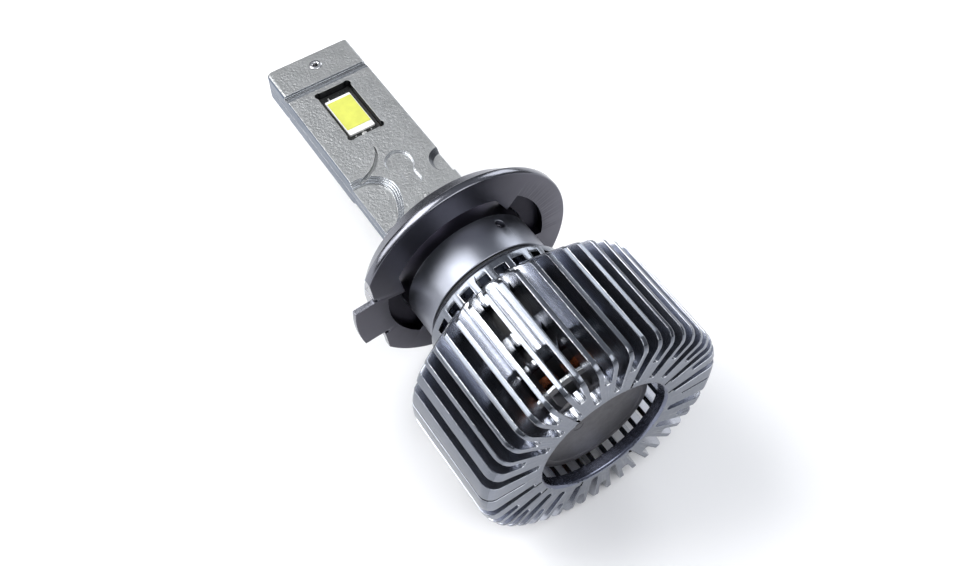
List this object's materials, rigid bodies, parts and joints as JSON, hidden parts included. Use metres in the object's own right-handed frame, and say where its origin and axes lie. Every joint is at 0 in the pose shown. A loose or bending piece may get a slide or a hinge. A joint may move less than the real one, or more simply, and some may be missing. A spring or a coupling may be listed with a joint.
{
  "type": "headlight bulb",
  "caption": "Retrofit headlight bulb: flat two-sided light blade with emitter chips, twist-lock base ring, finned round body with a driver and a small cooling fan inside.",
  "frame": {"origin": "on the bulb axis at the seating plane, the front face of the base ring's flange", "axes": "+Y along the bulb axis toward the tip of the light blade, +Z out of the lit face of the blade, +X across the blade to the right"},
  "size_m": [0.0286, 0.0618, 0.0286],
  "materials": {
    "satin_aluminium": "satin blasted",
    "fin_aluminium": "machined",
    "dark_chrome": "dark plated",
    "copper": "bare copper",
    "steel": "bright",
    "ceramic": "matt",
    "phosphor": "matt",
    "black_plastic": "moulded",
    "charcoal": "satin",
    "board": "lacquered",
    "rubber": "matt",
    "ferrite": "matt",
    "magnet": "plated"
  },
  "bodies": {
    "bulb": {"blade_shell_top": "satin_aluminium", "blade_shell_bottom": "satin_aluminium", "capacitor_a": "satin_aluminium", "capacitor_b": "satin_aluminium", "blade_core": "copper", "emitter_base_top": "ceramic", "emitter_base_bottom": "ceramic", "emitter_phosphor_top": "phosphor", "emitter_phosphor_bottom": "phosphor", "tip_rivet": "steel", "neck_set_screw": "steel", "fan_screw_a": "steel", "fan_screw_b": "steel", "fan_screw_c": "steel", "bearing_front": "steel", "bearing_rear": "steel", "neck": "dark_chrome", "body_seal": "rubber", "cable_grommet": "rubber", "heat_sink": "fin_aluminium", "board_liner": "black_plastic", "switch_chip": "black_plastic", "controller_chip": "black_plastic", "fan_plate": "black_plastic", "driver_board": "board", "choke_core": "ferrite", "choke_winding": "copper", "stator_coil_1": "copper", "stator_coil_2": "copper", "stator_coil_3": "copper", "stator_coil_4": "copper", "stator_coil_5": "copper", "stator_coil_6": "copper", "led_board_top": "black_plastic", "led_board_bottom": "black_plastic"},
    "base_ring": {"adapter_ring": "dark_chrome"},
    "fan_rotor": {"rotor_shaft": "steel", "rotor_magnet": "magnet", "rotor_yoke": "steel", "impeller": "black_plastic", "rotor_cover": "charcoal"}
  },
  "joints": [
    {"name": "ring_twist", "type": "hinge", "parent": "bulb", "child": "base_ring", "pos_m": [0, 0, 0], "axis": [0, 1, 0], "range_deg": [0, 75]},
    {"name": "fan_spin", "type": "hinge", "parent": "bulb", "child": "fan_rotor", "pos_m": [0, -0.0225, 0], "axis": [0, 1, 0], "continuous": true}
  ]
}
